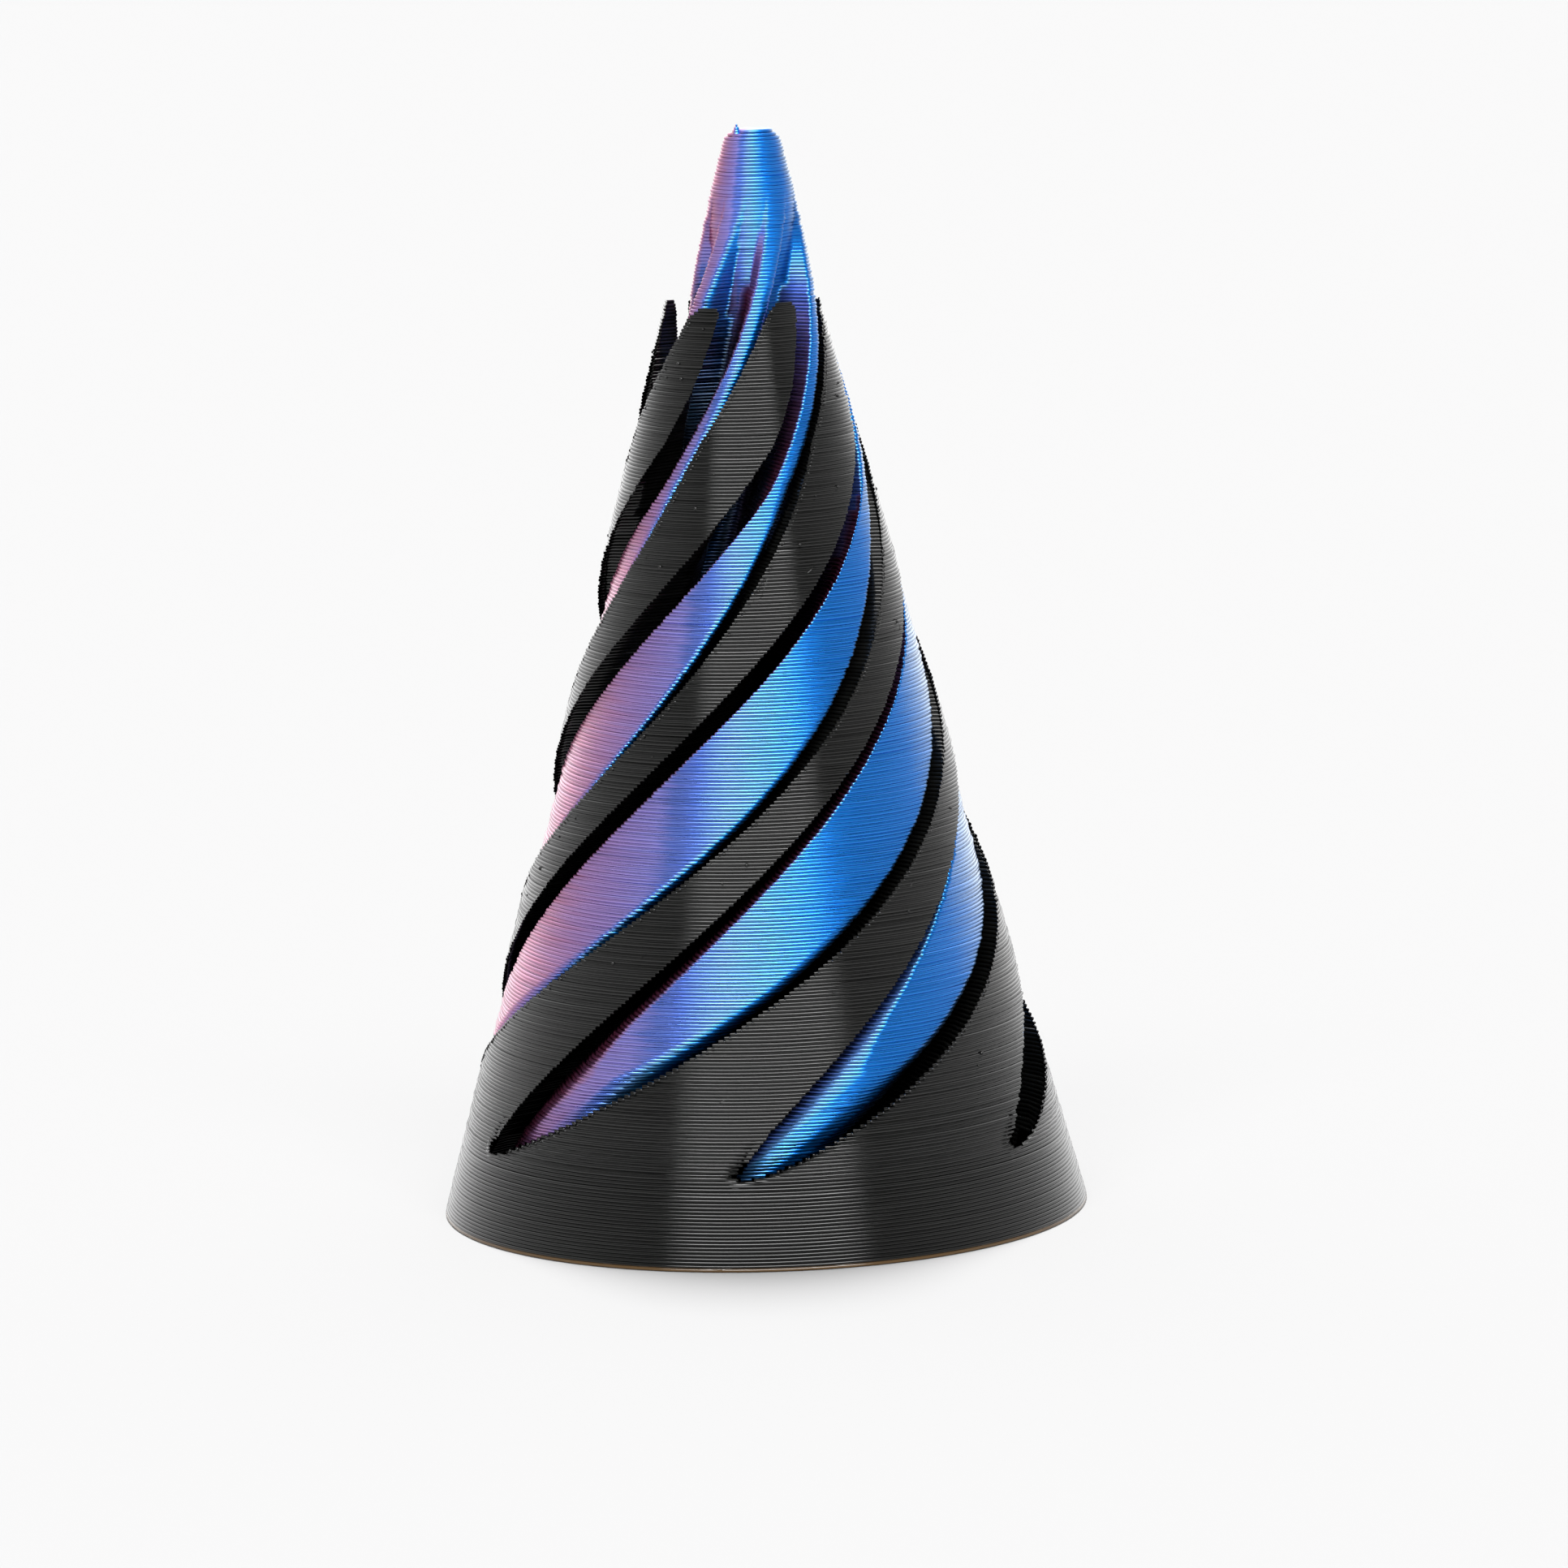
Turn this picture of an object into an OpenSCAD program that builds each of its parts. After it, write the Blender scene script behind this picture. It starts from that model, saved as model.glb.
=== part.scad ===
// Pass-through spiral cone: a fluted shell with six helical arms, and a six-lobed core that screws up through it.
// Both pieces are cut from a cone by one star outline that turns steadily with height, so the core slides along it.

/* [Overall] */
// Outside diameter of the shell at its foot
foot_d = 38; // [31:0.5:60]
// Height at which the outer cone would come to a point
apex_h = 70.3; // [50:0.1:110]
// Radius of the blunt top of the core
nose_r = 1.2; // [0.6:0.1:1.6]

/* [Spiral] */
// Number of arms on the shell and of lobes on the core
lobes = 6; // [4:1:6]
// Height of one full turn of the spiral
turn_h = 70.8; // [50:0.2:150]
// Wall of the closed ring at the foot, outside the slot ends
ring_wall = 1.35; // [0.9:0.05:2.5]
// Width of an arm at its waist
arm_w = 1.9; // [1.2:0.1:3]
// Distance from the axis to the inner edge of an arm
arm_inner_r = 3.8; // [3.4:0.1:4.6]
// Thickness of an arm at its cut end, measured outwards from the axis
arm_tip_t = 0.7; // [0.4:0.1:1.5]

/* [Core] */
// Radius of the round spine that joins the lobes
hub_r = 2.1; // [1.9:0.1:2.6]
// Thickness of the web between the spine and a lobe
web_w = 1.2; // [0.8:0.1:1.6]
// Distance from the axis at which a web starts to widen into its lobe
root_r = 7; // [6:0.1:8]
// Radius of the curve where a web runs into its lobe or the spine
web_fillet = 0.4; // [0.2:0.1:0.8]
// Small joint line between the grooved core and its plain nose
nose_joint = 0.05; // [0.02:0.01:0.1]

/* [Clearances] */
// Gap between the side of a lobe and the arm beside it
side_gap = 1.5; // [0.6:0.1:2]
// How much wider the gap is at the tip of a lobe than beside it
lobe_back = 0.4; // [0:0.1:0.5]
// Gap on each side of a web
web_gap = 1.15; // [0.6:0.05:1.5]
// How far the face of the core lies inside the face of the shell
face_gap = 0.5; // [0.2:0.1:1]
// Share of its play by which the loose core stands turned in its slots
play_share = 0.3; // [-0.5:0.1:0.5]

/* [Hidden] */
// Facets around a whole cone
cone_fn = 96;
// Facets around a whole lobe or fillet
lobe_fn = 18;
// Slices in a twisted body
slice_n = 26;
// Largest fillet beside an arm, as a share of the arm's waist, so that the fillet never cuts the arm off
fillet_share = 0.4;
// Overshoot that keeps cut faces from coinciding
over = 0.01;

foot_r = foot_d / 2;
taper = foot_r / apex_h;
half_pitch = sin(180 / lobes);
// Slot outline: its lobe tips leave the ring wall, and neighbouring lobes leave the waist of an arm
slot_tip_r = foot_r - ring_wall;
slot_lobe_r = (2 * slot_tip_r * half_pitch - arm_w) / (2 * (1 + half_pitch));
slot_lobe_c = slot_tip_r - slot_lobe_r;
// Core outline: the slot outline less the clearances
core_lobe_r = slot_lobe_r - side_gap;
core_lobe_c = slot_lobe_c - lobe_back;
// The core is free to turn until a lobe meets the arm beside it
rest_turn = play_share * atan(side_gap / slot_lobe_c);
core_foot_r = foot_r - face_gap;
slot_fillet = min(web_fillet, fillet_share * arm_w);
// The arms are cut where the cone leaves them their tip thickness
shell_h = (foot_r - arm_inner_r - arm_tip_t) / taper;
// Above nose_z the cone is narrower than the spine, so the core has no grooves
nose_z = (core_foot_r - hub_r) / taper;
core_h = (core_foot_r - nose_r) / taper;

// Round of a web or lobe, at a distance from the axis
module round_at(x, r) {
    translate([x, 0])
        circle(r = r);
}

// Flower outline: a round hub, and straight webs that widen into round lobes
module star(hub, web, lobe_r, lobe_c, fillet) {
    offset(r = -fillet)
        offset(r = fillet) {
            circle(r = hub);
            for (i = [0 : lobes - 1])
                rotate(i * 360 / lobes) {
                    hull() {
                        round_at(0, web / 2);
                        round_at(root_r, web / 2);
                    }
                    hull() {
                        round_at(root_r, web / 2);
                        round_at(lobe_c, lobe_r);
                    }
                }
        }
}

// Outline swept up and turned steadily, right-handed about +Z
module spiral(height) {
    linear_extrude(height = height, twist = -360 * height / turn_h, slices = slice_n, convexity = 10)
        children();
}

// Cone that narrows at the common taper from radius r at the foot
module cone(r, z0, z1) {
    translate([0, 0, z0])
        cylinder(h = z1 - z0, r1 = r - taper * z0, r2 = r - taper * z1, $fn = cone_fn);
}

module slot_star() {
    star(arm_inner_r, web_w + 2 * web_gap, slot_lobe_r, slot_lobe_c, slot_fillet, $fn = lobe_fn);
}

module core_star() {
    star(hub_r, web_w, core_lobe_r, core_lobe_c, web_fillet, $fn = lobe_fn);
}

// Closed ring at the foot that opens into free-ended helical arms
module shell() {
    color("#26282a")
        difference() {
            cone(foot_r, 0, shell_h);
            translate([0, 0, -over])
                rotate(-360 * over / turn_h)
                    spiral(shell_h + 2 * over)
                        slot_star();
        }
}

// Grooved part of the core, with its lobes in the slots
module core() {
    color("#4a6fd0")
        intersection() {
            cone(core_foot_r, 0, nose_z);
            rotate(rest_turn)
                spiral(nose_z)
                    core_star();
        }
}

// Plain blunt end of the core, above the grooves
module core_nose() {
    color("#8a6ac8")
        cone(core_foot_r, nose_z + nose_joint, core_h);
}

shell();
core();
core_nose();
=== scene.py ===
import bmesh
import bpy
import math
import numpy as np
from mathutils import Matrix, Vector


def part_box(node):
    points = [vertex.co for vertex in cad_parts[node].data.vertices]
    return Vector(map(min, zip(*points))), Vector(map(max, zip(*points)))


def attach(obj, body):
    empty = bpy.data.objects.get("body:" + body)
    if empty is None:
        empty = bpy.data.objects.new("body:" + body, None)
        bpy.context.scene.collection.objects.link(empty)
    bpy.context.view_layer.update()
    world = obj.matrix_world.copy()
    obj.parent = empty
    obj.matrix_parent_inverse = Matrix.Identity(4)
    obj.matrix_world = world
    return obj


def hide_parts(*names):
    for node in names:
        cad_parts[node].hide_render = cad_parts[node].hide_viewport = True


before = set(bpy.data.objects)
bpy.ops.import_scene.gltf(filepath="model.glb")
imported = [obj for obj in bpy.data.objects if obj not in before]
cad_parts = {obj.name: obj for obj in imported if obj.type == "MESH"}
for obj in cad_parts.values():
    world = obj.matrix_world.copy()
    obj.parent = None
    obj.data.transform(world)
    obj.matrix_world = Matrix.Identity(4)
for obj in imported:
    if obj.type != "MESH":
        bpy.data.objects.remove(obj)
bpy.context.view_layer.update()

# The two prints are built as a printer lays them: one outline for each layer, turned a little from the last.
# Outlines are worked out in millimetres on the complex plane: x + iy is a point, and a product is a turn.
MM = 0.001
LAYER = 0.2
TURN_H = 70.8
LOBES = 6
SEED = 5

# Sizes of the outlines, as in the CAD part, apart from the rest turn, which comes to 2.07 degrees there
foot_r = (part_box("shell")[1].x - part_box("shell")[0].x) / 2 / MM
shell_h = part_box("shell")[1].z / MM
core_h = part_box("core_nose")[1].z / MM
APEX_H = 70.3
RING_WALL = 1.35
ARM_W = 1.9
ARM_INNER_R = 3.8
HUB_R = 2.1
WEB_W = 1.2
WEB_GAP = 1.15
ROOT_R = 7.0
SIDE_GAP = 1.5
LOBE_BACK = 0.4
FACE_GAP = 0.5
REST_TURN = math.radians(2)
TAPER = foot_r / APEX_H
half_pitch = math.sin(math.pi / LOBES)
slot_tip_r = foot_r - RING_WALL
slot_lobe_r = (2 * slot_tip_r * half_pitch - ARM_W) / (2 * (1 + half_pitch))
slot_lobe_c = slot_tip_r - slot_lobe_r
# The loose core leans in its slots: how far along X its middle is from the axis, at its foot and at its top
LEAN_LOW = -0.42
LEAN_HIGH = 0.86

# A layer's edge is a rounded bead of four rows. Each row has its height as a share of the layer's, the share
# of the bead's depth by which it is drawn in, and an upward tilt of its normal that wanders a little.
BEAD_PARTS = np.array([0.05, 0.32, 0.68, 0.95])
BEAD_DRAW = np.array([1.0, 0.12, 0.12, 1.0])
BEAD_DEPTH = 0.055
BEAD_TILT = np.radians([-50, -10, 12, 52])
TILT_WANDER = np.radians(6)
# Spacing of the points that an outline is worked out from
LINE_STEP = 0.02
# A rolled corner takes up to this share of its wall, or of the outline left beyond it plus a spare length
ROLL_SHARE = 0.3
ROLL_SPARE = 0.2
# Above 1, the points of a wall crowd towards its outer end
WALL_CROWD = 1.6
# Smallest difference in radius that counts, and the shortest length that a direction is taken from
SAME_RADIUS = 1e-6
NO_LENGTH = 1e-9
SHARP_EDGE = math.radians(70)


def rng(name):
    """A random stream that depends only on the name of what it is for."""
    return np.random.default_rng([SEED, *name.encode()])


# ---- Outlines ----

def lobe_line(hub, web, lobe_r, lobe_c):
    """One side of a lobe from the spine out to its tip: evenly spaced points, and the normal at each."""
    half = web / 2
    lean = math.asin((lobe_r - half) / (lobe_c - ROOT_R))
    hub_arc = hub * np.exp(1j * np.linspace(math.pi / LOBES, math.asin(half / hub), 20))
    web_end = np.array([ROOT_R - half * math.tan(lean / 2) + 1j * half])
    lobe_arc = lobe_c + lobe_r * np.exp(1j * np.linspace(math.pi / 2 + lean, 0, 80))
    corners = np.concatenate([hub_arc, web_end, lobe_arc])
    run = np.concatenate([[0], np.cumsum(abs(np.diff(corners)))])
    s = np.arange(0, run[-1], LINE_STEP)
    p = np.interp(s, run, corners.real) + 1j * np.interp(s, run, corners.imag)
    p[-1] = corners[-1]
    tangent = np.gradient(p)
    return {"s": s, "p": p, "n": 1j * tangent / abs(tangent), "r": np.maximum.accumulate(abs(p))}


def along(line, key, s):
    """The points or normals of a line at the given distances along it."""
    values = line[key]
    return np.interp(s, line["s"], values.real) + 1j * np.interp(s, line["s"], values.imag)


def flank(line, cut, roll, n_wall, n_corner):
    """Points and normals up one side of a lobe at each cut radius, with a rolled corner at the end."""
    tip_s = line["s"][-1]
    s_cut = np.interp(cut, line["r"], line["s"])[:, None]
    open_row = (cut < line["r"][-1] - SAME_RADIUS)[:, None]
    room = np.minimum(roll, ROLL_SHARE * np.minimum(s_cut, abs(tip_s - s_cut) + ROLL_SPARE)) * open_row
    steps = 1 - (1 - np.linspace(0, 1, n_wall)) ** WALL_CROWD
    s = (s_cut - room) * steps
    shrink = np.minimum(1, cut / line["r"][0])[:, None]
    wall, wall_n = along(line, "p", s) * shrink, along(line, "n", s)
    corner = along(line, "p", s_cut) * shrink
    end_angle = np.angle(corner) - room / cut[:, None]
    end = cut[:, None] * np.exp(1j * end_angle)
    t = np.linspace(0, 1, n_corner + 1)[None, 1:]
    start = wall[:, -1:]
    curve = (1 - t) ** 2 * start + 2 * t * (1 - t) * corner + t ** 2 * end
    curve_n = (1 - t) * wall_n[:, -1:] + t * np.exp(1j * end_angle)
    curve_n = curve_n / np.maximum(abs(curve_n), NO_LENGTH)
    return np.hstack([wall, curve]), np.hstack([wall_n, curve_n]), end_angle


def face_arc(low, high, radius, n):
    """Points and normals across an outer face, between two corners."""
    t = np.linspace(0, 1, n + 2)[None, 1:-1]
    turn = np.exp(1j * (low + (high - low) * t))
    return radius * turn, turn


# ---- Layers ----

class Rows:
    """The rows of points that make up a run of layers: each layer has one outline and a bead's profile."""

    def __init__(self, first, last, name):
        self.k = np.arange(first, last)
        count = len(BEAD_PARTS)
        self.layer = np.repeat(self.k, count)
        self.mid = (self.layer + 0.5) * LAYER
        self.z = (self.k[:, None] + BEAD_PARTS).ravel() * LAYER
        self.z[0], self.z[-1] = first * LAYER, last * LAYER
        self.draw = np.tile(BEAD_DRAW * BEAD_DEPTH, len(self.k))
        self.random = rng(name)

    def per_layer(self, size):
        """One random number for each layer, repeated over the layer's rows."""
        return np.repeat(self.random.normal(0, size, len(self.k)), len(BEAD_PARTS))

    def twist(self):
        return np.exp(2j * math.pi * self.mid / TURN_H)


def tube(name, loops, normals, rows):
    """A closed solid through a stack of closed loops, one at each height, shaded as round beads."""
    count, n = loops.shape
    z = np.broadcast_to(rows.z[:, None], loops.shape)
    points = np.stack([loops.real, loops.imag, z], -1).reshape(-1, 3) * MM
    a = (np.arange(count - 1)[:, None] * n + np.arange(n)).ravel()
    b = (np.arange(count - 1)[:, None] * n + (np.arange(n) + 1) % n).ravel()
    faces = np.stack([a, b, b + n, a + n], -1).tolist()
    faces.append(list(range(n))[::-1])
    faces.append(list(range((count - 1) * n, count * n)))
    piece = make_mesh(name, points, faces)
    tilt = (np.tile(BEAD_TILT, len(rows.k)) + rows.per_layer(TILT_WANDER))[:, None]
    flat = normals / np.maximum(abs(normals), NO_LENGTH) * np.cos(tilt)
    shading = np.stack([flat.real, flat.imag, np.broadcast_to(np.sin(tilt), flat.shape)], -1).reshape(-1, 3)
    piece.data.normals_split_custom_set_from_vertices(shading.tolist())
    return piece


def make_mesh(name, points, faces):
    """A new object, smooth on its four-sided faces between sharp edges, and flat on the others."""
    mesh = bpy.data.meshes.new(name)
    mesh.from_pydata(points.tolist(), [], faces)
    mesh.update()
    mesh.polygons.foreach_set("use_smooth", [len(f) == 4 for f in faces])
    mesh.set_sharp_from_angle(angle=SHARP_EDGE)
    piece = bpy.data.objects.new(name, mesh)
    bpy.context.scene.collection.objects.link(piece)
    return piece


# ---- Shell ----

slot_line = lobe_line(ARM_INNER_R, WEB_W + 2 * WEB_GAP, slot_lobe_r, slot_lobe_c)
FOOT_LAYERS = int(RING_WALL / TAPER / LAYER) + 1
ARM_LAYERS = int(shell_h / LAYER)
FOOT_RAGGED = 0.015
ARM_ROLL_LOW = 0.7
ARM_ROLL_HIGH = 0.4
WALL_POINTS = 7
CORNER_POINTS = 5
FACE_POINTS = 8
RING_POINTS = 60
BAY_POINTS = 12
# How far a layer typically strays sideways
LAYER_WANDER = 0.016
# The arms' free tips are rounded off over the last millimetre, and no two are alike
TIP_ROUND = (0.4, 0.9)
# An arm has fewer than this many layers beyond ARM_LAYERS
TIP_EXTRA = 2
TIP_ROUGH_H = 3.0
TIP_ROUGH = 0.018
TIP_ASIDE = 0.25
TIP_SHRINK = 0.75


def smooth(value, low, high):
    """0 below low, 1 above high, and a soft step between."""
    t = np.clip((value - low) / (high - low), 0, 1)
    return t * t * (3 - 2 * t)


def round_tip(p, rows):
    """Draws the outline in towards its middle over the last layers, leaning a little to one side."""
    top = rows.z[-1]
    height = rows.random.uniform(*TIP_ROUND)
    aside = rows.random.uniform(-TIP_ASIDE, TIP_ASIDE) + 1j * rows.random.uniform(-TIP_ASIDE, TIP_ASIDE)
    u = np.clip((rows.mid - top + height) / height, 0, 1)[:, None]
    middle = p.mean(axis=1)[:, None]
    rough = smooth(rows.mid, top - TIP_ROUGH_H, top)[:, None]
    wander = (rows.per_layer(TIP_ROUGH) + 1j * rows.per_layer(TIP_ROUGH))[:, None] * rough
    return middle + (p - middle) * np.sqrt(1 - TIP_SHRINK * u ** 3) + aside * u * u + wander


def arm_loops(rows):
    """An arm's outline at each row, about the middle of the arm."""
    cut = foot_r - TAPER * rows.mid + rows.per_layer(LAYER_WANDER)
    between = np.exp(-1j * math.pi / LOBES)
    low, low_n, low_end = flank(slot_line, cut, ARM_ROLL_HIGH, WALL_POINTS, CORNER_POINTS)
    high, high_n, high_end = flank(slot_line, cut, ARM_ROLL_LOW, WALL_POINTS, CORNER_POINTS)
    low, low_n = low * between, -low_n * between
    high, high_n = high.conj() / between, -high_n.conj() / between
    ends = low_end - math.pi / LOBES, math.pi / LOBES - high_end
    face, face_n = face_arc(*ends, cut[:, None], FACE_POINTS)
    # The corner's normals were worked out towards the lobe, so they are turned outwards here
    for side, side_n in ((low, low_n), (high, high_n)):
        t = np.linspace(0, 1, CORNER_POINTS)
        outward = np.exp(1j * np.angle(side[:, WALL_POINTS:]))
        side_n[:, WALL_POINTS:] = t * outward + (1 - t) * side_n[:, WALL_POINTS - 1:WALL_POINTS]
    p = np.hstack([low, face, high[:, ::-1][:, :-1]])
    n = np.hstack([low_n, face_n, high_n[:, ::-1][:, :-1]])
    return p, n / np.maximum(abs(n), NO_LENGTH)


def arm(index):
    """One arm of the shell, from the closed ring to its free tip."""
    name = f"shell_arm_{index + 1}"
    rows = Rows(FOOT_LAYERS, ARM_LAYERS + int(rng(name + "_top").integers(0, TIP_EXTRA)), name)
    p, n = arm_loops(rows)
    wander = rows.per_layer(LAYER_WANDER) + 1j * rows.per_layer(LAYER_WANDER)
    p = round_tip(p - n * rows.draw[:, None], rows) + wander[:, None]
    turn = rows.twist() * np.exp(1j * math.pi / LOBES * (2 * index + 1))
    return tube(name, p * turn[:, None], n * turn[:, None], rows)


def foot():
    """The closed ring: a round outside, and the slots' closed ends inside."""
    rows = Rows(0, FOOT_LAYERS, "shell_foot")
    n_out, n_in = RING_POINTS, BAY_POINTS
    cut = foot_r - TAPER * rows.mid + rows.per_layer(LAYER_WANDER)
    cut = np.minimum(cut, foot_r)
    ragged = abs(rows.random.normal(0, FOOT_RAGGED, (len(rows.z), n_out * LOBES)))
    ragged = ragged * (rows.z < LAYER)[:, None]
    around = np.exp(2j * math.pi * np.arange(n_out * LOBES) / (n_out * LOBES))
    out = ((cut - rows.draw)[:, None] - ragged) * around
    s = np.linspace(0, 1, n_in + 1)[None, :] * slot_line["s"][-1]
    s = np.broadcast_to(s, (len(rows.z), n_in + 1))
    side = along(slot_line, "p", s) + along(slot_line, "n", s) * rows.draw[:, None]
    sector = np.hstack([side.conj(), side[:, ::-1][:, 1:-1]])
    spokes = np.exp(2j * math.pi * np.arange(LOBES) / LOBES)
    inner = (sector[:, None, :] * spokes[None, :, None]).reshape(len(rows.z), -1)
    total_out, total_in = out.shape[1], inner.shape[1]
    loops = np.hstack([out, inner]) * rows.twist()[:, None]
    total = total_out + total_in
    count = len(rows.z)
    points = np.stack([loops.real, loops.imag, np.broadcast_to(rows.z[:, None], loops.shape)], -1)
    faces = []
    for row in range(count - 1):
        base = row * total
        for i in range(total_out):
            j = (i + 1) % total_out
            faces.append([base + i, base + j, base + total + j, base + total + i])
        for i in range(total_in):
            j = (i + 1) % total_in
            faces.append([base + total_out + j, base + total_out + i,
                          base + total + total_out + i, base + total + total_out + j])
    for base, up in ((0, False), ((count - 1) * total, True)):
        for spoke in range(LOBES):
            ring = [(spoke * n_out + i) % total_out for i in range(n_out + 1)]
            tip = spoke * 2 * n_in + n_in
            bay = [total_out + (tip + i) % total_in for i in range(2 * n_in + 1)]
            polygon = [base + i for i in ring + bay[::-1]]
            faces.append(polygon if up else polygon[::-1])
    return make_mesh("shell_foot", points.reshape(-1, 3) * MM, faces)


# ---- Core ----

core_line = lobe_line(HUB_R, WEB_W, slot_lobe_r - SIDE_GAP, slot_lobe_c - LOBE_BACK)
core_tip_r = slot_lobe_c - LOBE_BACK + slot_lobe_r - SIDE_GAP
CORE_ROLL_LOW = 0.7
CORE_ROLL_HIGH = 0.24
CORE_SPLITS = (106, 212)
CORE_LAYERS = int(core_h / LAYER) - 2
CORE_FACE_POINTS = 7
# Length of the curve at a lobe's tip that belongs to its outer face
TIP_ARC = 0.8
# The grooves fill up towards the top, where the cone also swells a little before its rounded shoulder
FILL_Z = (53.5, 61.5)
FILL_SHARE = 0.92
SWELL_Z = (56.0, 62.0)
SWELL = 0.2
SHOULDER = 0.7
SHOULDER_SHRINK = 0.55


def core_loops(rows):
    """The core's whole outline at each row: six lobes about the spine."""
    cut = foot_r - FACE_GAP - TAPER * rows.mid + rows.per_layer(LAYER_WANDER)
    cap = core_line["r"][np.searchsorted(core_line["s"], core_line["s"][-1] - TIP_ARC)]
    cut_flank = np.minimum(cut, cap)
    low, low_n, low_end = flank(core_line, cut_flank, CORE_ROLL_HIGH, WALL_POINTS, CORNER_POINTS)
    high, high_n, high_end = flank(core_line, cut_flank, CORE_ROLL_LOW, WALL_POINTS, CORNER_POINTS)
    low, low_n = low.conj(), low_n.conj()
    t = np.linspace(0, 1, CORE_FACE_POINTS + 2)[None, 1:-1]
    angle = -low_end + (high_end + low_end) * t
    bulge = np.maximum(0, np.minimum(cut, core_tip_r) - cut_flank)[:, None] * (1 - (2 * t - 1) ** 2)
    face_n = np.exp(1j * angle)
    face = (cut_flank[:, None] + bulge) * face_n
    p = np.hstack([low, face, high[:, ::-1][:, :-1]])
    n = np.hstack([low_n, face_n, high_n[:, ::-1][:, :-1]])
    fill = smooth(rows.mid, *FILL_Z)[:, None]
    return shape_top(p, cut, rows), n * (1 - fill) + p / abs(p) * fill


def shape_top(p, cut, rows):
    """Fills the grooves, swells the cone and rounds its shoulder near the top."""
    size = abs(p)
    fill = FILL_SHARE * smooth(rows.mid, *FILL_Z)[:, None]
    swell = SWELL * smooth(rows.mid, *SWELL_Z)
    below = np.clip((rows.mid - CORE_LAYERS * LAYER + SHOULDER) / SHOULDER, 0, 1)
    goal = size + fill * (cut[:, None] - size) + swell[:, None]
    return p / size * goal * np.sqrt(1 - SHOULDER_SHRINK * below ** 2)[:, None]


def core_part(name, first, last):
    """The core between two layers."""
    rows = Rows(first, last, name)
    p, n = core_loops(rows)
    wander = rows.per_layer(LAYER_WANDER) + 1j * rows.per_layer(LAYER_WANDER)
    lean = LEAN_LOW + (LEAN_HIGH - LEAN_LOW) * rows.mid / core_h
    p = p - n * rows.draw[:, None]
    spokes = np.exp(2j * math.pi * np.arange(LOBES) / LOBES)
    turn = (rows.twist() * np.exp(1j * REST_TURN))[:, None]
    loops = (p[:, None, :] * spokes[None, :, None]).reshape(len(rows.z), -1) * turn
    normals = (n[:, None, :] * spokes[None, :, None]).reshape(len(rows.z), -1) * turn
    return tube(name, loops + (wander + lean)[:, None], normals, rows)


# ---- Print marks: blobs, strings and the nib where the nozzle left the core ----

def blobs(name, centres, sizes, detail=2):
    """Small round specks of plastic, as one piece."""
    bm = bmesh.new()
    bmesh.ops.create_icosphere(bm, subdivisions=detail, radius=1)
    ball = np.array([v.co for v in bm.verts])
    ball_faces = np.array([[v.index for v in face.verts] for face in bm.faces])
    bm.free()
    count = len(sizes)
    points = np.asarray(centres)[:, None, :] + ball * np.asarray(sizes)[:, None, None]
    faces = ball_faces + (np.arange(count) * len(ball))[:, None, None]
    mesh = bpy.data.meshes.new(name)
    mesh.from_pydata((points.reshape(-1, 3) * MM).tolist(), [], faces.reshape(-1, 3).tolist())
    mesh.polygons.foreach_set("use_smooth", [True] * len(mesh.polygons))
    piece = bpy.data.objects.new(name, mesh)
    bpy.context.scene.collection.objects.link(piece)
    return piece


CORNER_BEAD = (0.09, 0.13)
CORNER_SINK = 0.03
# From the middle of an arm's outer face to its edge, as a share of the arm's waist
HALF_FACE = 0.42


def corner_beads(index):
    """The small bulge at the end of each layer, where the nozzle turned round an arm's upper edge."""
    name = f"shell_arm_{index + 1}_beads"
    rows = Rows(FOOT_LAYERS + 2, ARM_LAYERS - 3, name)
    p, n = arm_loops(rows)
    column = WALL_POINTS + CORNER_POINTS // 2
    turn = rows.twist() * np.exp(1j * math.pi / LOBES * (2 * index + 1))
    corner = ((p - n * CORNER_SINK)[:, column] * turn)[::len(BEAD_PARTS)]
    z = rows.mid[::len(BEAD_PARTS)]
    centres = np.stack([corner.real, corner.imag, z], -1)
    return blobs(name, centres, rows.random.uniform(*CORNER_BEAD, len(z)), 1)


def arm_edge(index, z, side):
    """A point on an arm's outer face: side is -1 and 1 near its two edges, and 0 in the middle."""
    radius = foot_r - TAPER * z
    share = HALF_FACE * ARM_W / radius * side
    angle = math.pi / LOBES * (2 * index + 1) + 2 * math.pi * z / TURN_H + share
    return radius * math.cos(angle), radius * math.sin(angle), z


SPECK_COUNT = 60
SPECK_R = (0.05, 0.13)
SPECK_LOW = 6
SPECK_SINK = 0.8
# Strings keep clear of both ends of the shell, leave just past an arm's edge, and bow outwards as they rise
STRING_COUNT = 22
STRING_R = 0.014
STRING_SIDES = 5
STRING_POINTS = 12
STRING_MARGIN = 8
STRING_SIDE = 1.15
STRING_LEAP = (0.5, 1.6)
STRING_DRIFT = (1.0, 1.6)
STRING_INWARD = 0.98
STRING_BOW = (0.1, 0.5)


def specks():
    """Specks along the arms, more of them near the tips."""
    random = rng("specks")
    z = shell_h - (shell_h - SPECK_LOW) * random.random(SPECK_COUNT) ** 2
    places = [arm_edge(random.integers(LOBES), at, random.uniform(-1, 1)) for at in z]
    deep = 1 - SPECK_R[0] * SPECK_SINK / foot_r
    return blobs("shell_specks", [(x * deep, y * deep, at) for x, y, at in places],
                 random.uniform(*SPECK_R, SPECK_COUNT))


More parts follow.
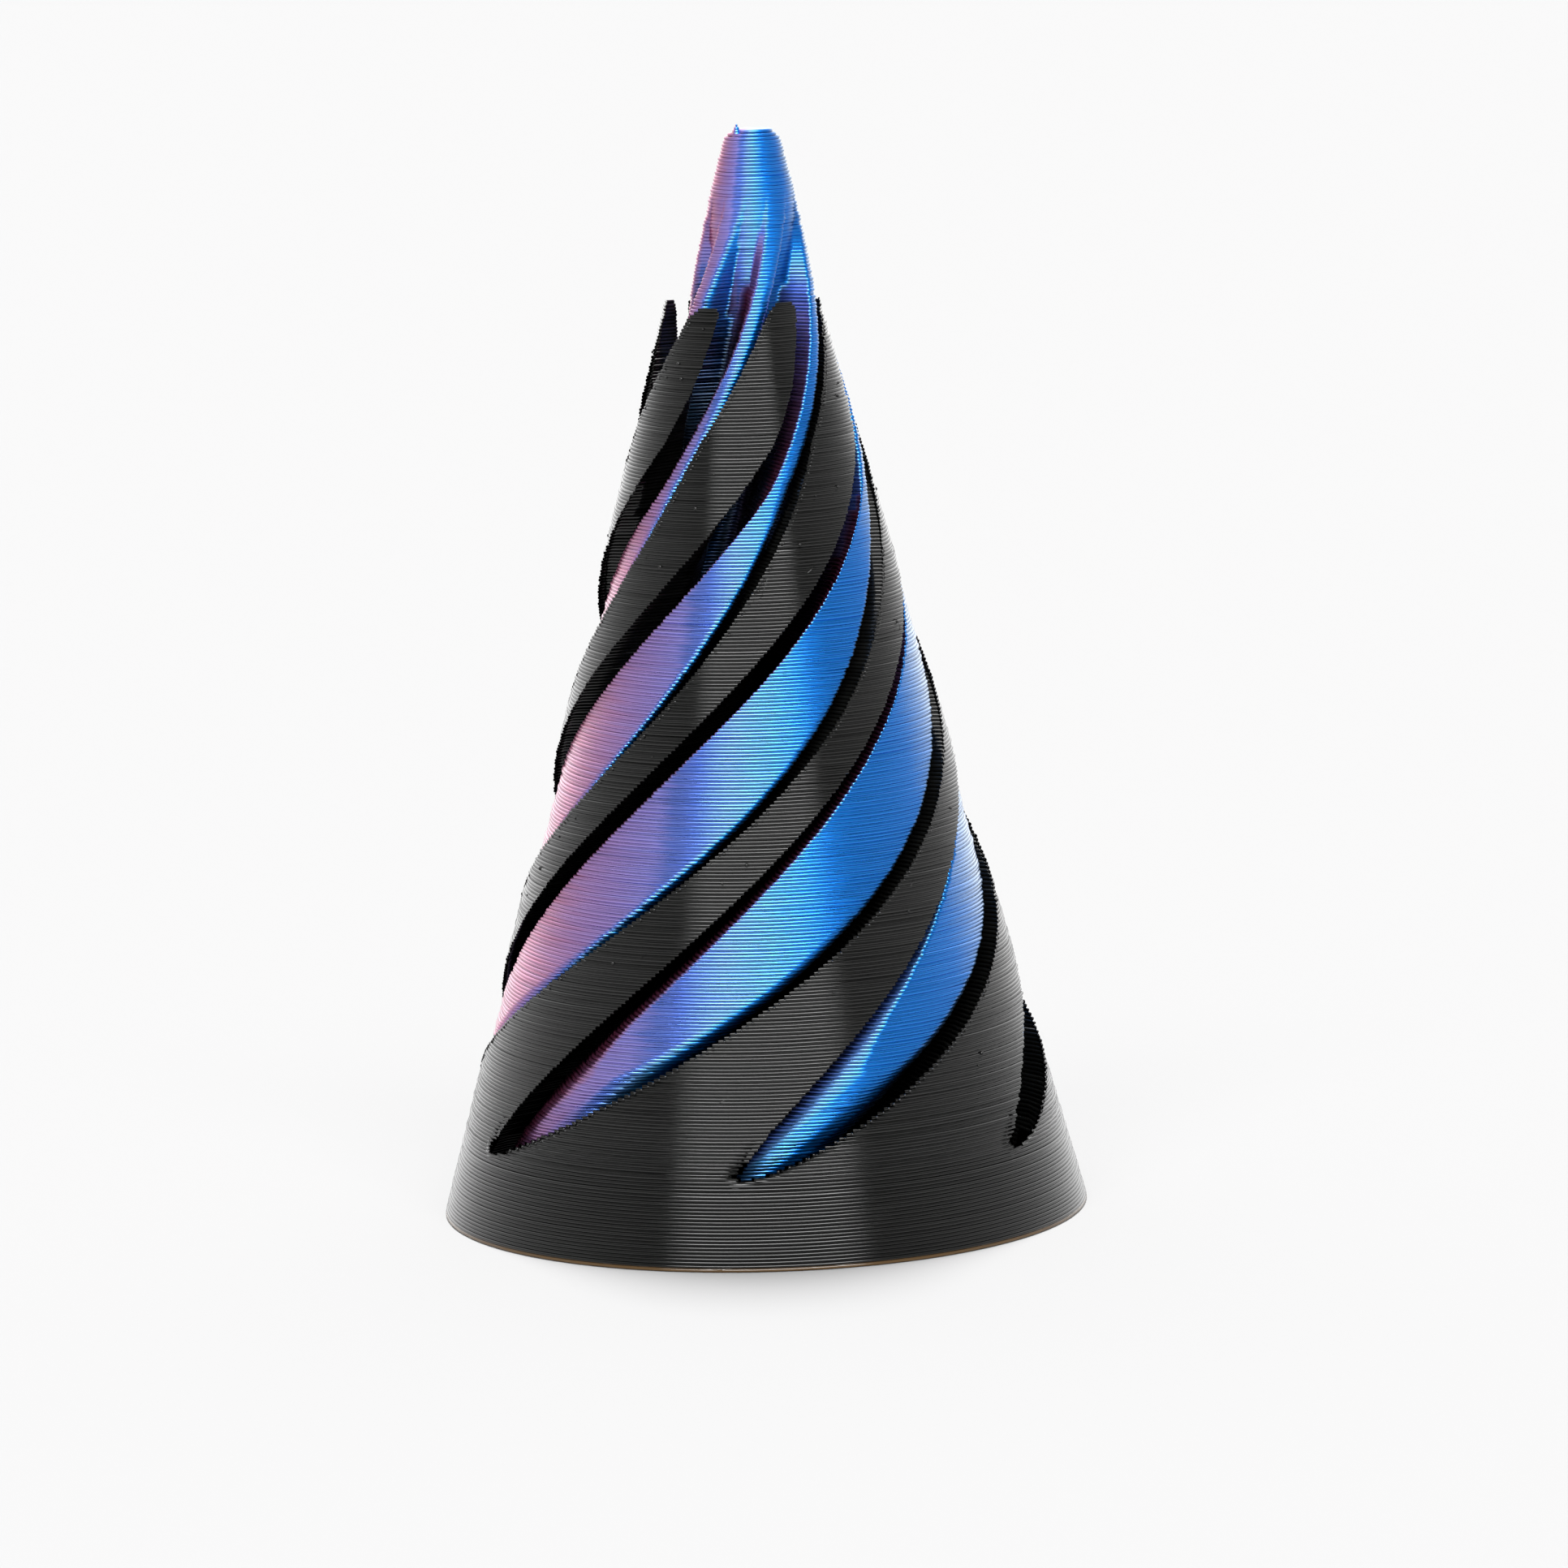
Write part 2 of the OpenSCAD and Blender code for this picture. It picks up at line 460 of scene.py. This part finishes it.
def string(index, random):
    """The points of one fine string, which leaves an arm's edge, bows outwards and ends a little higher."""
    low = random.uniform(STRING_MARGIN, shell_h - STRING_MARGIN)
    side = random.choice((-STRING_SIDE, STRING_SIDE))
    start = Vector(arm_edge(index, low, side))
    end = Vector(arm_edge(index, low + random.uniform(*STRING_LEAP), side * random.uniform(*STRING_DRIFT)))
    end.xy *= STRING_INWARD
    bow = Vector((start.x, start.y, 0)).normalized() * random.uniform(*STRING_BOW)
    middle = (start + end) / 2 + bow
    steps = np.linspace(0, 1, STRING_POINTS)
    return [start * (1 - t) ** 2 + middle * 2 * t * (1 - t) + end * t * t for t in steps]


def strings():
    """Fine strings that the nozzle drew as it moved away from an edge, as one piece."""
    random = rng("strings")
    points, faces = [], []
    sides = STRING_SIDES
    for count in range(STRING_COUNT):
        path = string(int(random.integers(LOBES)), random)
        first = len(points)
        for at in path:
            for turn in range(sides):
                angle = 2 * math.pi * turn / sides
                points.append(at + Vector((math.cos(angle), math.sin(angle), math.sin(angle))) * STRING_R)
        for row in range(len(path) - 1):
            for turn in range(sides):
                a = first + row * sides + turn
                b = first + row * sides + (turn + 1) % sides
                faces.append([a, b, b + sides, a + sides])
        faces.append([first + turn for turn in range(sides)])
        faces.append([len(points) - 1 - turn for turn in range(sides)])
    return make_mesh("shell_strings", np.array(points) * MM, faces)


# The nib is a stack of balls: where it stands on the top, its reach below and above it, and how it narrows
NIB_AT = (-0.9, -0.75)
NIB_SPAN = (-0.5, 0.35)
NIB_BALLS = 8
NIB_R = 0.34
NIB_END = 0.97
NIB_TAPER = 1.5


def nib():
    """A small peak of plastic on the edge of the core's flat top."""
    top = CORE_LAYERS * LAYER
    side = (LEAN_HIGH + NIB_AT[0], NIB_AT[1])
    heights = np.linspace(*NIB_SPAN, NIB_BALLS)
    sizes = NIB_R * np.sqrt(1 - np.linspace(0, NIB_END, NIB_BALLS) ** NIB_TAPER)
    return blobs("core_nib", [(*side, top + h - size) for h, size in zip(heights, sizes)], sizes)


# ---- Materials ----

class Tree:
    """A node tree, built up by short calls."""

    def __init__(self, tree):
        self.tree = tree

    def add(self, kind, inputs=(), **settings):
        node = self.tree.nodes.new("ShaderNode" + kind)
        for key, value in settings.items():
            setattr(node, key, value)
        for key, value in dict(inputs).items():
            if isinstance(value, bpy.types.NodeSocket):
                self.tree.links.new(value, node.inputs[key])
            else:
                node.inputs[key].default_value = value
        return node

    def coordinates(self, output="Object"):
        return self.add("TexCoord").outputs[output]

    def math(self, operation, a, b=0.0):
        return self.add("Math", {0: a, 1: b}, operation=operation).outputs[0]

    def map(self, value, low, high, from_low=0.0, from_high=1.0, kind="LINEAR"):
        return self.add("MapRange", {"Value": value, "From Min": from_low, "From Max": from_high,
                                     "To Min": low, "To Max": high}, interpolation_type=kind).outputs[0]

    def ramp(self, value, stops):
        node = self.add("ValToRGB", {"Fac": value})
        ends = node.color_ramp.elements
        while len(ends) < len(stops):
            ends.new(0.5)
        for element, (position, colour) in zip(ends, stops):
            element.position = position
            element.color = (*colour, 1)
        return node.outputs["Color"]


class Finish(Tree):
    """A material with a Principled shader."""

    def __init__(self, name, **values):
        self.material = bpy.data.materials.new(name)
        self.material.use_nodes = True
        super().__init__(self.material.node_tree)
        self.shader = self.tree.nodes["Principled BSDF"]
        for socket, value in values.items():
            self.shader.inputs[socket.replace("_", " ")].default_value = value

    def link(self, output, socket):
        self.tree.links.new(output, self.shader.inputs[socket])

    def noise(self, scale, detail=2.0, stretch=(1, 1, 1)):
        place = self.add("Mapping", {"Vector": self.coordinates(), "Scale": stretch})
        texture = self.add("TexNoise", {"Vector": place.outputs[0], "Scale": scale, "Detail": detail})
        return texture.outputs["Fac"]

    def bump(self, height, strength, distance):
        node = self.add("Bump", {"Height": height, "Strength": strength, "Distance": distance})
        self.link(node.outputs[0], "Normal")


# Noise along the layers: long streaks for colour, short ones that break up the shine, and a fine grain.
# Each has its scale, its detail and how much it is squeezed along X, Y and Z.
STREAK = (220, 3, (1, 1, 24))
BROKEN = (450, 2, (1, 1, 10))
GRAIN = (900, 3, (1, 1, 3))
# Strength of the grain's bump, and its height in metres
GRAIN_BUMP = (0.2, 0.00002)
# Roughness between the darkest and the brightest of the broken streaks
SHELL_ROUGHNESS = (0.02, 0.24)
SILK_ROUGHNESS = (0.18, 0.4)
# The first layer was pressed flat and thin on the bed, and shows a little brown there
RIM = (0.1, 0.28)
RIM_COLOUR = (0.09, 0.05, 0.018)


def shell_plastic():
    """Black plastic, streaky along its layers, with a broken-up shine."""
    m = Finish("shell_black_plastic", Base_Color=(0.004, 0.0042, 0.004, 1), Roughness=0.16, IOR=1.47)
    streak = m.noise(*STREAK)
    black = m.ramp(streak, [(0.3, (0.0025, 0.0026, 0.0025)), (0.7, (0.006, 0.0062, 0.0058))])
    height = m.add("SeparateXYZ", {"Vector": m.coordinates()}).outputs["Z"]
    rim = m.map(height, 1, 0, RIM[0] * MM, RIM[1] * MM)
    stained = m.add("VectorMath", {0: RIM_COLOUR, 1: rim, 2: black}, operation="MULTIPLY_ADD")
    m.link(stained.outputs[0], "Base Color")
    m.link(m.map(m.noise(*BROKEN), *SHELL_ROUGHNESS), "Roughness")
    m.bump(m.noise(*GRAIN), *GRAIN_BUMP)
    return m.material


# The two colours lie side by side in the plastic, so a face shows the one on the side that it is turned to
SILK_STOPS = [
    (-1.0, (0.50, 0.11, 0.24)),
    (-0.9, (0.36, 0.13, 0.28)),
    (-0.77, (0.34, 0.19, 0.46)),
    (-0.62, (0.32, 0.24, 0.62)),
    (-0.50, (0.30, 0.28, 0.74)),
    (-0.42, (0.13, 0.20, 0.64)),
    (-0.30, (0.08, 0.17, 0.60)),
    (-0.15, (0.09, 0.23, 0.53)),
    (0.05, (0.05, 0.25, 0.53)),
    (0.25, (0.003, 0.21, 0.72)),
    (0.8, (0.004, 0.19, 0.66)),
    (1.0, (0.12, 0.24, 0.44)),
]
# Painted shade: the base colour of the grooves' walls is darkened below the height where they fill up
GROOVE_DEPTH = (0.5, 2.0)
GROOVE_SHADE = 0.1
GROOVE_TOP = (51, 56)
# Depth is measured from the cone, or from this far inside the lobes' tips where they don't reach the cone
TIP_SPARE = 0.2
# How much rougher the silk gets towards the top, and how far above the upper GROOVE_TOP it is so in full
DULL_TOP = 0.16
DULL_RISE = 3
# How far a streak shifts the mix of the two colours
STREAK_SHIFT = 0.1


def groove_shade(m):
    """Painted shade for the base colour: 1 on the outer faces, and less down in the grooves."""
    place = m.add("SeparateXYZ", {"Vector": m.coordinates()}).outputs
    spread = m.math("SQRT", m.math("ADD", m.math("MULTIPLY", place["X"], place["X"]),
                                   m.math("MULTIPLY", place["Y"], place["Y"])))
    cone = m.map(place["Z"], (foot_r - FACE_GAP) * MM, 0, 0, (foot_r - FACE_GAP) / TAPER * MM)
    outer = m.math("MINIMUM", cone, (core_tip_r - TIP_SPARE) * MM)
    depth = m.math("SUBTRACT", outer, spread)
    shade = m.map(depth, 1, GROOVE_SHADE, GROOVE_DEPTH[0] * MM, GROOVE_DEPTH[1] * MM)
    return m.math("MAXIMUM", shade, m.map(place["Z"], 0, 1, GROOVE_TOP[0] * MM, GROOVE_TOP[1] * MM))


def core_silk():
    """Silk plastic in two colours, with painted shade darkening it down in the grooves, and duller towards
    the top.
    """
    m = Finish("core_two_colour_silk", Metallic=0.94, Roughness=0.3, IOR=1.47, Coat_Weight=0.6,
               Coat_Roughness=0.16, Coat_IOR=1.45)
    normal = m.add("SeparateXYZ", {"Vector": m.coordinates("Normal")})
    flat = m.add("CombineXYZ", {"X": normal.outputs["X"], "Y": normal.outputs["Y"]})
    unit = m.add("VectorMath", {0: flat.outputs[0]}, operation="NORMALIZE")
    side = m.add("SeparateXYZ", {"Vector": unit.outputs[0]}).outputs["X"]
    streak = m.map(m.noise(*STREAK), -STREAK_SHIFT, STREAK_SHIFT)
    mixed = m.map(m.math("ADD", side, streak), 0, 1, -1, 1)
    colour = m.ramp(mixed, [((at + 1) / 2, colour) for at, colour in SILK_STOPS])
    # Painted shade: the silk's colour is darkened down in the grooves
    shaded = m.add("VectorMath", {0: colour, "Scale": groove_shade(m)}, operation="SCALE")
    m.link(shaded.outputs[0], "Base Color")
    height = m.add("SeparateXYZ", {"Vector": m.coordinates()}).outputs["Z"]
    dull_top = m.map(height, 0, DULL_TOP, GROOVE_TOP[0] * MM, (GROOVE_TOP[1] + DULL_RISE) * MM)
    m.link(m.math("ADD", m.map(m.noise(*BROKEN), *SILK_ROUGHNESS), dull_top), "Roughness")
    m.bump(m.noise(*GRAIN), *GRAIN_BUMP)
    return m.material


# ---- Pieces ----

shell_finish = shell_plastic()
core_finish = core_silk()


def place(piece, body, material, slot_name):
    """Gives a piece its material and body; slot_name is not used."""
    piece.data.materials.append(material)
    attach(piece, body)
    return piece


shell_foot = place(foot(), "shell", shell_finish, "shell_black")
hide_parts("shell")
for index in range(LOBES):
    place(arm(index), "shell", shell_finish, "shell_black")
    place(corner_beads(index), "shell", shell_finish, "shell_black")

place(specks(), "shell", shell_finish, "shell_black")
place(strings(), "shell", shell_finish, "shell_black")

core_low = place(core_part("core_lower", 0, CORE_SPLITS[0]), "core", core_finish, "core_silk")
place(core_part("core_middle", *CORE_SPLITS), "core", core_finish, "core_silk")
core_high = place(core_part("core_upper", CORE_SPLITS[1], CORE_LAYERS), "core", core_finish, "core_silk")
place(nib(), "core", core_finish, "core_silk")
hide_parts("core")
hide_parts("core_nose")


# ---- Studio ----

# The white that the camera sees behind the object
PAPER = 0.938
# The floor's half width in metres, and its light: its own glow, and a lamp that lights nothing else
FLOOR_HALF = 6.0
FLOOR_GLOW = 0.09
FLOOR_LAMP = 21.4
LAMP_WIDTH = math.radians(15)
LAMP_TILT = math.radians(-18.5)


def make_floor():
    """A pale floor that glows a little, and a lamp above and behind the object that lights only it."""
    half = FLOOR_HALF
    corners = np.array([[-half, -half, 0], [half, -half, 0], [half, half, 0], [-half, half, 0]])
    floor = make_mesh("floor", corners, [[0, 1, 2, 3]])
    m = Finish("floor_paper", Base_Color=(0.1, 0.1, 0.1, 1), Roughness=1.0, Specular_IOR_Level=0.0)
    m.shader.inputs["Emission Color"].default_value = (1, 1, 1, 1)
    m.shader.inputs["Emission Strength"].default_value = FLOOR_GLOW
    floor.data.materials.append(m.material)
    lamp = bpy.data.lights.new("floor_lamp", "SUN")
    lamp.energy = FLOOR_LAMP
    lamp.angle = LAMP_WIDTH
    sun = bpy.data.objects.new("floor_lamp", lamp)
    sun.rotation_euler = (LAMP_TILT, 0, 0)
    bpy.context.scene.collection.objects.link(sun)
    only_floor = bpy.data.collections.new("lit_by_floor_lamp")
    only_floor.objects.link(floor)
    sun.light_linking.receiver_collection = only_floor


# Brightness of the studio by the angle from the front, in degrees
ROOM_STOPS = [(0, 0.06), (42, 0.05), (46, 0.0), (62, 0.2), (90, 0.42),
              (112, 0.66), (132, 1.3), (148, 2.1), (180, 2.1)]
# The softbox: its brightness, and the angles over which its sides, its lower and its upper edge fade
BOX_LEVEL = 14.0
BOX_EDGES = (40, 44)
BOX_LOW = (34, 40)
BOX_HIGH = (60, 66)


def make_world():
    """Bright white behind the object, dim in front of it, and a softbox above the camera."""
    world = bpy.data.worlds.new("studio")
    bpy.context.scene.world = world
    world.use_nodes = True
    world.node_tree.nodes.clear()
    t = Tree(world.node_tree)
    way = t.add("SeparateXYZ", {0: t.coordinates("Generated")}).outputs
    azimuth = t.math("ABSOLUTE", t.math("ARCTAN2", way["X"], t.math("MULTIPLY", way["Y"], -1.0)))
    room = t.ramp(t.map(azimuth, 0, 1, 0, math.pi), [(a / 180, (v, v, v)) for a, v in ROOM_STOPS])
    across = t.map(azimuth, 1, 0, *[math.radians(a) for a in BOX_EDGES], kind="SMOOTHSTEP")
    over = t.map(way["Z"], 0, 1, *[math.sin(math.radians(a)) for a in BOX_LOW], kind="SMOOTHSTEP")
    under = t.map(way["Z"], 1, 0, *[math.sin(math.radians(a)) for a in BOX_HIGH], kind="SMOOTHSTEP")
    box = t.math("MULTIPLY", t.math("MULTIPLY", across, over), t.math("MULTIPLY", under, BOX_LEVEL))
    light = t.add("VectorMath", {0: room, 1: box}, operation="ADD").outputs[0]
    unseen = t.add("Background", {"Color": light}).outputs[0]
    seen = t.add("Background", {"Color": (PAPER, PAPER, PAPER, 1)}).outputs[0]
    to_camera = t.add("LightPath").outputs["Is Camera Ray"]
    shown = t.add("MixShader", {0: to_camera, 1: unseen, 2: seen}).outputs[0]
    t.add("OutputWorld", {"Surface": shown})


# Where the camera stands in millimetres, its angles in radians, and its lens, film width and reach
CAMERA_AT = (-3.832, -459.99, 97.77)
HEADING = math.radians(-0.69)
PITCH = 0.1567
ROLL = 0.0267
LENS = 182.02
FILM_WIDTH = 36
CLIP = (0.01, 50)


def make_camera():
    """The viewpoint: just left of the front, looking down a little, with a slight roll."""
    place_mm = Vector(CAMERA_AT)
    right = Vector((math.cos(HEADING), math.sin(HEADING), 0))
    level = math.cos(PITCH)
    ahead = Vector((-math.sin(HEADING) * level, math.cos(HEADING) * level, -math.sin(PITCH)))
    up = right.cross(ahead)
    image_x = right * math.cos(ROLL) - up * math.sin(ROLL)
    image_y = right * math.sin(ROLL) + up * math.cos(ROLL)
    data = bpy.data.cameras.new("camera")
    data.lens, data.sensor_width = LENS, FILM_WIDTH
    data.clip_start, data.clip_end = CLIP
    camera = bpy.data.objects.new("camera", data)
    turn = Matrix((image_x, image_y, -ahead)).transposed().to_4x4()
    camera.matrix_world = Matrix.Translation(place_mm * MM) @ turn
    bpy.context.scene.collection.objects.link(camera)
    bpy.context.scene.camera = camera


make_floor()
make_world()
make_camera()
bpy.context.scene.view_settings.view_transform = "Standard"
